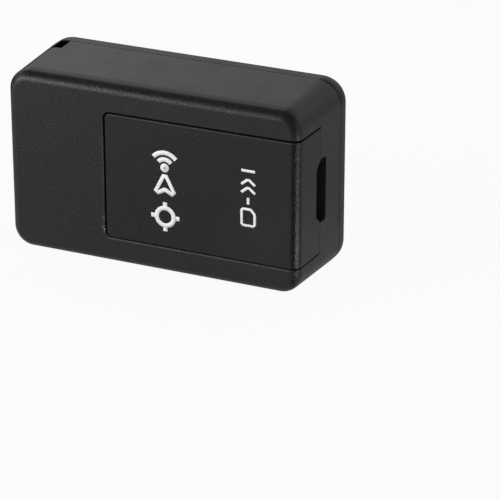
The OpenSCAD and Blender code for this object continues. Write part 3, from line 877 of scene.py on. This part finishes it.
class Rows(Pattern):
    """Repeats one small part in columns and rows, each turned and scaled a little at random."""

    def __init__(self) -> None:
        """Builds the tree: points in columns and rows, with a copy of the part on each."""
        super().__init__("rows_of_parts")
        (part,) = self.ask("Object", "Part")
        columns, rows, seed = self.ask("Int", "Columns", "Rows", "Seed")
        column_pitch, row_pitch, unevenness = self.ask("Float", "Column pitch", "Row pitch", "Unevenness")
        index = self.add("GeometryNodeInputIndex", {})
        across = self.math("MODULO", index, columns) * column_pitch
        up = self.math("FLOOR", self.math("DIVIDE", index, columns)) * row_pitch
        place = self.add("ShaderNodeCombineXYZ", {0: across, 1: up})
        points = self.add("GeometryNodePoints", {"Count": columns * rows, "Position": place})
        size = self.draw(1.0 - unevenness, unevenness + 1.0, seed)
        turn = self.draw(unevenness * -0.6, unevenness * 0.6, seed)
        spin = self.add("ShaderNodeCombineXYZ", {2: turn})
        shape = self.add("GeometryNodeObjectInfo", {"Object": part}, "Geometry")
        copies = {"Points": points, "Instance": shape, "Rotation": spin, "Scale": size}
        self.close(self.add("GeometryNodeInstanceOnPoints", copies))

    def draw(self, low: Signal, high: Signal, seed: Signal) -> Signal:
        """A random number for each part."""
        return self.add("FunctionNodeRandomValue", {2: low, 3: high, "Seed": seed}, 1, data_type="FLOAT")


class Stroke(Pattern):
    """Lays a flat band of one width along every line of a drawing, with its corners rounded."""

    def __init__(self) -> None:
        """Builds the tree: rounded lines, swept with a rectangle that lies flat."""
        super().__init__("band_along_lines")
        width, height, rounding = self.ask("Float", "Width", "Height", "Corner radius")
        lines = Signal(self, self.entry.outputs[0])
        flat = self.add("GeometryNodeSetCurveNormal", {"Curve": lines}, mode="Z_UP")
        inputs = {"Curve": flat, "Radius": rounding, "Limit Radius": True}
        curve = self.add("GeometryNodeFilletCurve", inputs)
        profile = self.add("GeometryNodeCurvePrimitiveQuadrilateral", {"Width": width, "Height": height})
        inputs = {"Curve": curve, "Profile Curve": profile, "Fill Caps": True}
        self.close(self.add("GeometryNodeCurveToMesh", inputs))


@dataclass
class Drawing:
    """Flat line work on a front face: open and closed lines in millimetres, drawn as bands."""

    name: str
    finish: Finish
    body: Body
    depth: float
    width: float
    height: float
    rounding: float
    lines: list[tuple[list[Point2], bool]] = field(default_factory=list)

    def line(self, *points: Point2, closed: bool = False) -> None:
        """Adds a line through points along the case and up from its middle height."""
        self.lines.append((list(points), closed))

    def arc(self, middle: Point2, radius: float, span: Point2 = (0, 360), steps: int = 32) -> None:
        """Adds part of a circle, or a whole one.

        Args:
            middle: its middle.
            radius: its radius.
            span: its first and last angle in degrees.
            steps: how many steps it has.
        """
        (x, z), (start, end) = middle, span
        whole = end - start >= 360
        count = steps if whole else steps + 1
        angles = [math.radians(start + (end - start) * i / steps) for i in range(count)]
        self.line(*((x + radius * math.cos(a), z + radius * math.sin(a)) for a in angles), closed=whole)

    def build(self, tree: Stroke) -> None:
        """Draws the lines as curves and lays the bands along them.

        Args:
            tree: the tree that lays the bands.
        """
        curve = bpy.data.curves.new(self.name, "CURVE")
        curve.dimensions = "3D"
        for points, closed in self.lines:
            spline = curve.splines.new("POLY")
            spline.points.add(len(points) - 1)
            for point, (x, z) in zip(spline.points, points):
                point.co = (x * MM, z * MM, 0.0, 1.0)
            spline.use_cyclic_u = closed
        sizes = {"Width": self.width, "Height": self.height, "Corner radius": self.rounding}
        values = {name: size * MM for name, size in sizes.items()}
        made = tree.run(link(self.name, curve), self.finish, values)
        made.data.transform(Face.FRONT.matrix(self.depth))
        settle(made, self.body)


@dataclass
class PartRow:
    """Rows of one small soldered part on the board."""

    name: str
    finish: Finish
    face: Face
    depth: float
    start: Point2
    size: Point3
    grid: tuple[int, int]
    pitch: Point2
    radius: float = 0.04
    unevenness: float = 0.02
    seed: int = 3
    stands_for: tuple[str, ...] = ()

    def template(self) -> bpy.types.Object:
        """One part with broken edges, standing on its plane.

        Returns:
            The part's object, which the tree copies.
        """
        x, y, z = (v * MM for v in self.size)
        work = bmesh.new()
        bmesh.ops.create_cube(work, size=1.0)
        stand = Matrix.Translation((0, 0, z / 2)) @ Matrix.Diagonal((x, y, z, 1.0))
        bmesh.ops.transform(work, matrix=stand, verts=work.verts)
        broken = {"offset": self.radius * MM, "segments": 2, "affect": "EDGES", "profile": 0.5}
        bmesh.ops.bevel(work, geom=work.edges[:], **broken)
        for item in work.faces:
            item.smooth = True
        mesh = bpy.data.meshes.new(self.name + "_one")
        work.to_mesh(mesh)
        work.free()
        return link(mesh.name, mesh)

    def build(self, tree: Rows) -> None:
        """Repeats the part in its rows.

        Args:
            tree: the tree that repeats it.
        """
        one = self.template()
        values = {
            "Part": one,
            "Columns": self.grid[0],
            "Rows": self.grid[1],
            "Column pitch": self.pitch[0] * MM,
            "Row pitch": self.pitch[1] * MM,
            "Unevenness": self.unevenness,
            "Seed": self.seed,
        }
        made = tree.run(link(self.name, bpy.data.meshes.new(self.name)), self.finish, values)
        bpy.data.objects.remove(one)
        start = Matrix.Translation((self.start[0] * MM, self.face.value * self.start[1] * MM, 0))
        made.data.transform(self.face.matrix(self.depth) @ start)
        settle(made, Body.CASE, self.stands_for)


@dataclass
class Case:
    """The drafted housing and the back cover with its two magnets."""

    rim: float = 0.05
    sill: float = 0.2
    sill_rise: float = 0.1
    jamb: float = 0.1
    split_rim: float = 0.012
    seam_rim: float = 0.02
    magnet_sharp: float = 28.0

    def build(self) -> None:
        """Softens the mouldings and the magnets."""
        seam = (SEAM, self.seam_rim)
        edges = ((SPLIT, self.split_rim), (SILL, self.sill), (JAMB, self.jamb), seam)
        Fitted("housing", CASE_PLASTIC, self.rim, rounds=3, regions=edges, rise=self.sill_rise).build()
        Softened("back_cover", BACK_PLASTIC, self.rim, regions=(seam,)).build()
        for node in ("magnet_left", "magnet_right"):
            Softened(node, NICKEL, self.rim, sharp=self.magnet_sharp).build()


@dataclass
class SlidingCover:
    """The L-shaped cover over the card bay, with its white print."""

    rim: float = 0.05
    split_rim: float = 0.012
    gap_reach: float = 0.7
    ink_height: float = 0.03
    ink_sink: float = 0.005
    ink_rounding: float = 0.18
    big_stroke: float = 0.5
    small_stroke: float = 0.3
    big_x: float = 1.68
    small_x: float = 11.33
    ring_z: float = -3.62
    signal_z: float = 1.95
    card_side: float = 0.75
    chevron: float = 0.78

    def build(self, tree: Stroke) -> None:
        """Softens the cover and prints its marks.

        Args:
            tree: the tree that lays the ink.
        """
        edges, reach = ((SPLIT, self.split_rim),), self.gap_reach
        Fitted("sim_cover", COVER_PLASTIC, self.rim, body=Body.COVER, regions=edges, reach=reach).build()
        self.locator_mark().build(tree)
        self.card_mark().build(tree)

    def drawing(self, name: str, stroke: float) -> Drawing:
        """An empty drawing on the cover's front, in ink of some stroke in millimetres."""
        sizes = (self.ink_sink, stroke, self.ink_height, self.ink_rounding)
        return Drawing(name, WHITE_INK, Body.COVER, *sizes)

    def locator_mark(self) -> Drawing:
        """A ring with cross ticks, an arrow and signal arcs, one above the other.

        Returns:
            The drawing.
        """
        mark = self.drawing("mark_locator", self.big_stroke)
        x, ring, signal = self.big_x, self.ring_z, (self.big_x, self.signal_z)
        mark.arc((x, ring), 1.0)
        for dx, dz in ((1, 0), (-1, 0), (0, 1), (0, -1)):
            mark.line(*((x + dx * reach, ring + dz * reach) for reach in (1.25, 1.66)))
        mark.line((x - 1.35, -1.25), (x, 1.3), (x + 1.35, -1.25), (x, -0.5), closed=True)
        mark.arc(signal, 0.26, steps=12)
        mark.arc(signal, 0.95, (40, 140), 12)
        mark.arc(signal, 1.7, (40, 140), 16)
        return mark

    def card_mark(self) -> Drawing:
        """The card's outline, a bar and two chevrons in line with it, and a bar on top.

        Returns:
            The drawing.
        """
        mark = self.drawing("mark_card", self.small_stroke)
        x, card, wing = self.small_x, self.card_side, self.chevron
        corner = ((x + card, -1.6), (x + 0.3, -1.1))
        mark.line((x - card, -2.95), (x + card, -2.95), *corner, (x - card, -1.1), closed=True)
        mark.line((x, -0.55), (x, 0.2))
        for z in (0.75, 1.65):
            mark.line((x - wing, z), (x, z + 0.62), (x + wing, z))
        mark.line((x - wing, 3.2), (x + wing, 3.2))
        return mark


@dataclass
class CardBay:
    """The board's front, seen when the cover is off: can, card holder, microphone and small parts."""

    board_depth: float = 3.435
    back_depth: float = 4.235
    middle_x: float = -2.925
    row_offset: float = 2.195
    row_z: float = -1.2
    chip_pitch: float = 1.0
    chip: Point3 = (1.0, 0.5, 0.4)
    end: Point3 = (0.24, 0.52, 0.41)
    end_radius: float = 0.05
    lamp_z: Point2 = (-0.7, 1.5)
    lamp: Point2 = (1.6, 0.8)
    back_start: Point2 = (10.503, -5.67)
    via_start: Point2 = (-5.0, 3.3)
    via_pitch: Point2 = (0.95, 3.4)
    via: Point3 = (0.3, 0.3, 0.03)

    def build(self, rows: Rows, stroke: Stroke) -> None:
        """Builds the bay's pieces.

        Args:
            rows: the tree that repeats small parts.
            stroke: the tree that lays traces.
        """
        soften(
            ("circuit_board", MASK_GREEN, 0.03),
            ("shield_can", TINNED, 0.09, 3),
            ("modem_chip", CHIP_RESIN, 0.06),
            ("sim_holder_base", MOULDED_BLACK, 0.03),
            ("sim_holder_cage", TINNED, 0.05),
            ("sim_contacts", GOLD, 0.02),
            ("microphone", TINNED, 0.1, 3),
            ("mic_boot", RUBBER, 0.08),
            ("crystal", TINNED, 0.08, 3),
            ("status_leds", LAMP, 0.08, 3),
        )
        self.small_parts(rows)
        self.traces().build(stroke)
        self.legend().build(stroke)

    def columns(self) -> Point2:
        """How far along the case the resistors and the capacitors stand."""
        return self.middle_x - self.row_offset, self.middle_x + self.row_offset

    def small_parts(self, tree: Rows) -> None:
        """Builds the chip resistors and capacitors, their tinned ends and the plated holes.

        Args:
            tree: the tree that repeats them.
        """
        front, back = (Face.FRONT, self.board_depth), (Face.BACK, self.back_depth)
        (left, right), z, chip, end = self.columns(), self.row_z, self.chip, self.end
        reach = chip[0] / 2 - end[0] / 2 + 0.01
        pitch, ends, round_end = (self.chip_pitch,) * 2, (2 * reach, self.chip_pitch), self.end_radius
        lamps = (self.lamp[0] + 0.04, self.lamp_z[1] - self.lamp_z[0])
        lamp_start = (self.middle_x - lamps[0] / 2, self.lamp_z[0])
        lamp_end = (0.3, self.lamp[1] * 0.9, 0.3)
        back_ends = (self.back_start[0] - reach, self.back_start[1])
        for row in (
            PartRow(
                "chip_resistors", CERAMIC_BLACK, *front, (left, z), chip, (1, 4), pitch,
                stands_for=("chip_components",),
            ),
            PartRow("chip_capacitors", CERAMIC_TAN, *front, (right, z), chip, (1, 4), pitch),
            PartRow("ends_resistors", SOLDER, *front, (left - reach, z), end, (2, 4), ends, round_end),
            PartRow("ends_capacitors", SOLDER, *front, (right - reach, z), end, (2, 4), ends, round_end),
            PartRow("ends_lamps", SOLDER, *front, lamp_start, lamp_end, (2, 2), lamps, 0.08),
            PartRow("plated_holes", GOLD, *front, self.via_start, self.via, (5, 2), self.via_pitch, 0.01),
            PartRow("chips_back", CERAMIC_TAN, *back, self.back_start, chip, (1, 3), pitch),
            PartRow("ends_back", SOLDER, *back, back_ends, end, (2, 3), ends, round_end),
        ):
            row.build(tree)

    def traces(self) -> Drawing:
        """The covered traces: from the small parts to the lamps, from the holes, and near the port.

        Returns:
            The drawing.
        """
        ways = Drawing("board_traces", TRACE_GREEN, Body.CASE, self.board_depth, 0.2, 0.03, 0.2)
        left, right = self.columns()
        for i in range(4):
            z, lamp = self.row_z + self.chip_pitch * i, self.lamp_z[0] + 0.3 + 0.45 * i
            ways.line((left + 0.6, z), (left + 0.95, z), (self.middle_x - 0.9, lamp))
            ways.line((right - 0.6, z), (right - 0.95, z), (self.middle_x + 0.9, lamp))
            ways.line((left - 0.45, z), (left - 0.45, z + 0.55), (left + 0.3, z + 0.55))
        for i in range(5):
            x, z = self.via_start[0] + self.via_pitch[0] * i, -1.05 - 0.28 * i
            ways.line((x, self.via_start[1]), (x, 2.75), (x + 0.3, 2.45))
            ways.line((x, 6.7), (x, 7.6))
            ways.line((13.2, z), (14.1, z), (14.6, z + 0.6), (14.6, z + 4))
        return ways

    def legend(self) -> Drawing:
        """The white outlines round the microphone and the crystal, and a bar beside each lamp.

        Returns:
            The drawing.
        """
        marks = Drawing("board_legend", LEGEND_INK, Body.CASE, self.board_depth, 0.1, 0.02, 0.12)
        x, z = self.middle_x, 5.2
        marks.arc((x, -4.53), 2.6)
        corners = ((-1.8, -1.3), (1.8, -1.3), (1.8, 1.3), (-1.8, 1.3))
        marks.line(*((x + dx, z + dz) for dx, dz in corners), closed=True)
        for z in self.lamp_z:
            marks.line((x - 1.12, z - 0.52), (x - 1.12, z + 0.52))
        return marks


@dataclass
class ChargingPort:
    """The receptacle behind the slot, and the charging chip beside it."""

    edge: float = 0.04
    contact_edge: float = 0.02

    def build(self) -> None:
        """Softens the receptacle's pieces and the chip."""
        soften(
            ("usb_shell", TINNED, self.edge),
            ("usb_tongue", MOULDED_BLACK, self.edge),
            ("usb_contacts", GOLD, self.contact_edge),
            ("charger_chip", CHIP_RESIN, self.edge),
        )


@dataclass
class PowerAndAerial:
    """The cell with its protection board and leads, the film and foam round it, and the printed aerial."""

    edge: float = 0.03
    cell_edge: float = 0.2
    foam_edge: float = 0.1
    spring_edge: float = 0.02

    def build(self) -> None:
        """Softens each piece."""
        soften(
            ("battery_cell", FOIL, self.cell_edge),
            ("battery_board", MASK_GREEN, self.edge),
            ("battery_tape", FILM, self.edge),
            ("battery_wire_red", LEAD_RED, self.edge),
            ("battery_wire_black", LEAD_BLACK, self.edge),
            ("insulating_sheet", FILM, self.edge),
            ("foam_pad", FOAM, self.foam_edge),
            ("antenna_strip", AERIAL_FILM, self.edge),
            ("antenna_spring", GOLD, self.spring_edge),
        )


def direction(turn: float, lift: float = 0.0) -> Vector:
    """The way out from the object at an azimuth and an elevation in degrees."""
    a, e = math.radians(turn), math.radians(lift)
    return Vector((math.sin(a) * math.cos(e), -math.cos(a) * math.cos(e), math.sin(e)))


@dataclass
class Lamp:
    """A lit rectangle at an azimuth, which the camera doesn't see."""

    name: str
    turn: float
    width: float
    height: float
    radiance: float

    def hang(self, place: Vector, facing: Quaternion) -> None:
        """Makes the lamp.

        Args:
            place: its middle.
            facing: its turn from facing down.
        """
        lamp = bpy.data.lights.new(self.name, "AREA")
        lamp.shape = "RECTANGLE"
        lamp.size, lamp.size_y = self.width * MM, self.height * MM
        lamp.energy = self.radiance * math.pi * lamp.size * lamp.size_y
        made = link(self.name, lamp)
        made.visible_camera = False
        made.location = place
        made.rotation_mode = "QUATERNION"
        made.rotation_quaternion = facing


@dataclass
class Softbox(Lamp):
    """A soft lamp that hangs some way off and faces the object."""

    lift: float
    reach: float

    def build(self, aim: Vector) -> None:
        """Hangs the lamp, facing a point."""
        away = direction(self.turn, self.lift)
        self.hang(aim + away * self.reach * MM, away.to_track_quat("Z", "Y"))


@dataclass
class Card(Lamp):
    """A lit strip that lies just off the floor and points at a corner of the object."""

    start: float
    off_floor: float = 0.5

    def build(self, corner: Vector) -> None:
        """Lays the strip out from a corner on the floor."""
        out = direction(self.turn) * (self.start + self.height / 2) + Vector((0, 0, self.off_floor))
        self.hang(corner + out * MM, Euler((math.pi, 0, math.pi - math.radians(self.turn))).to_quaternion())


@dataclass
class Studio:
    """A pale floor, soft lamps, a white surround and the camera at the photograph's angle."""

    place: Point3 = (120.402, -245.082, 118.774)
    turn: float = 24.5163
    lift: float = 23.4593
    roll: float = 0.0435
    lens: float = 196.364
    floor_side: float = 3000.0
    corner: Point2 = (16.5, -5.5)
    wedge_turn: float = 31.0
    wedge_width: Point2 = (0.48, 0.36)
    pale: float = 0.52
    painted_wedge_shade: float = 0.2
    painted_shade_behind: float = 0.05
    floor_white: float = 0.94
    near_glow: float = 0.36
    far_glow: float = 0.05
    ambient: float = 0.72
    behind: float = 1.02
    to_the_right: float = 0.7
    before: float = 0.12
    horizon: float = 0.08
    horizon_right: float = 0.5
    overhead: float = 0.07

    def build(self) -> None:
        """Sets up the scene."""
        bpy.context.scene.view_settings.view_transform = "Standard"
        self.camera()
        self.floor()
        self.world()
        for box in (
            Softbox("key", -44, 95, 150, 8.5, lift=17, reach=260),
            Softbox("edge", -23, 70, 40, 5.0, lift=13, reach=260),
            Softbox("side", 80, 60, 100, 2.0, lift=12, reach=300),
            Softbox("rear", -138, 60, 40, 0.7, lift=30, reach=160),
        ):
            box.build(Vector((0, 0, MIDDLE_HEIGHT * MM)))
        for card in (
            Card("near side card", 78, 2.1, 15, 8.6, start=5),
            Card("far side card", 78, 6, 42, 6.0, start=20),
            Card("front card", -8, 6, 52, 0.5, start=8),
        ):
            card.build(Vector((*self.corner, 0)) * MM)

    def camera(self) -> None:
        """Places the camera."""
        lens = bpy.data.cameras.new("camera")
        lens.sensor_width = 36
        lens.lens = self.lens
        lens.clip_start, lens.clip_end = 0.01, 20
        made = link("camera", lens)
        back, right = direction(self.turn, self.lift), direction(self.turn + 90)
        tilt = Matrix.Rotation(math.radians(self.roll), 3, back)
        axes = Matrix((tilt @ right, tilt @ back.cross(right), back)).transposed()
        made.matrix_world = Matrix.Translation(Vector(self.place) * MM) @ axes.to_4x4()
        bpy.context.scene.camera = made

    def floor(self) -> None:
        """Lays the floor, which shows white and keeps a soft shadow; in gloss it is darker, with a painted
        light pool near the object, a painted dark wedge and painted shade behind the object.
        """
        mesh = bpy.data.meshes.new("floor")
        half = self.floor_side / 2 * MM
        corners = [(x * half, y * half, 0) for x, y in ((-1, -1), (1, -1), (1, 1), (-1, 1))]
        mesh.from_pydata(corners, [], [(0, 1, 2, 3)])
        made = link("floor", mesh)
        shader = Shader("pale_floor")
        seen, gloss = shader.rays()
        at = shader.place()
        beside = (abs(at["X"]) - HALF_LENGTH).most(abs(at["Y"]) - HALF_DEPTH)
        run, out = at["X"] - self.corner[0], self.corner[1] - at["Y"]
        turn = abs(shader.math("ARCTAN2", run, out) - math.radians(self.wedge_turn))
        # painted reflections: for glossy rays only, a dark wedge and the floor behind the object are painted
        # darker, and a light pool is painted near the object
        behind = gloss * (at["Y"].step(6.0, 9.0) * at["X"].step(17.0, 15.0))
        painted_wedge = (gloss * turn.step(*self.wedge_width)).most(behind)
        glow = beside.step(1.0, 15.0, self.near_glow, self.far_glow) * (1.0 - painted_wedge)
        pale = shader.mix(painted_wedge, (self.pale,) * 3, (self.painted_wedge_shade,) * 3)
        pale = shader.mix(behind, pale, (self.painted_shade_behind,) * 3)
        shader.set(Base_Color=pale, Roughness=0.9, Specular_IOR_Level=0.0)
        white = shader.add("ShaderNodeEmission", {"Color": (1, 1, 1), "Strength": 1.0})
        surface = Signal(shader, shader.surface.outputs[0])
        lit = seen * self.floor_white + gloss * glow
        mixed = shader.add("ShaderNodeMixShader", {0: lit, 1: surface, 2: white})
        shader.connect(shader.tree.nodes["Material Output"].inputs["Surface"], mixed)
        mesh.materials.append(shader.material)

    def world(self) -> None:
        """Makes the surround: white to the camera, even light on matt faces, a dark ceiling in gloss."""
        world = bpy.data.worlds.new("surround")
        bpy.context.scene.world = world
        world.use_nodes = True
        nodes = Nodes(world.node_tree)
        seen, gloss = nodes.rays()
        way = nodes.add("ShaderNodeTexCoord", {}, "Generated")
        at = nodes.outputs("ShaderNodeSeparateXYZ", {0: way})
        side = at["Y"].step(-0.6, 0.35, self.before, self.behind)
        side = side * at["X"].step(0.0, 0.5, 1.0, self.to_the_right)
        horizon = at["X"].step(-0.35, 0.1, self.horizon, self.horizon_right)
        band = side * nodes.mix_number(at["Z"].step(0.05, 0.32), horizon, 1.0)
        mirrored = nodes.mix_number(at["Z"].step(0.46, 0.8), band, self.overhead)
        level = nodes.mix_number(gloss, self.ambient, mirrored)
        surround = world.node_tree.nodes["Background"].inputs
        nodes.connect(surround["Strength"], nodes.mix_number(seen, level, 1.0))
        nodes.connect(surround["Color"], (1.0, 1.0, 1.0))


def main() -> None:
    """Builds the device and its studio."""
    logging.basicConfig(level=logging.INFO, format="%(message)s")
    rows, stroke = Rows(), Stroke()
    Case().build()
    SlidingCover().build(stroke)
    CardBay().build(rows, stroke)
    ChargingPort().build()
    PowerAndAerial().build()
    Studio().build()


if __name__ == "__main__":
    main()
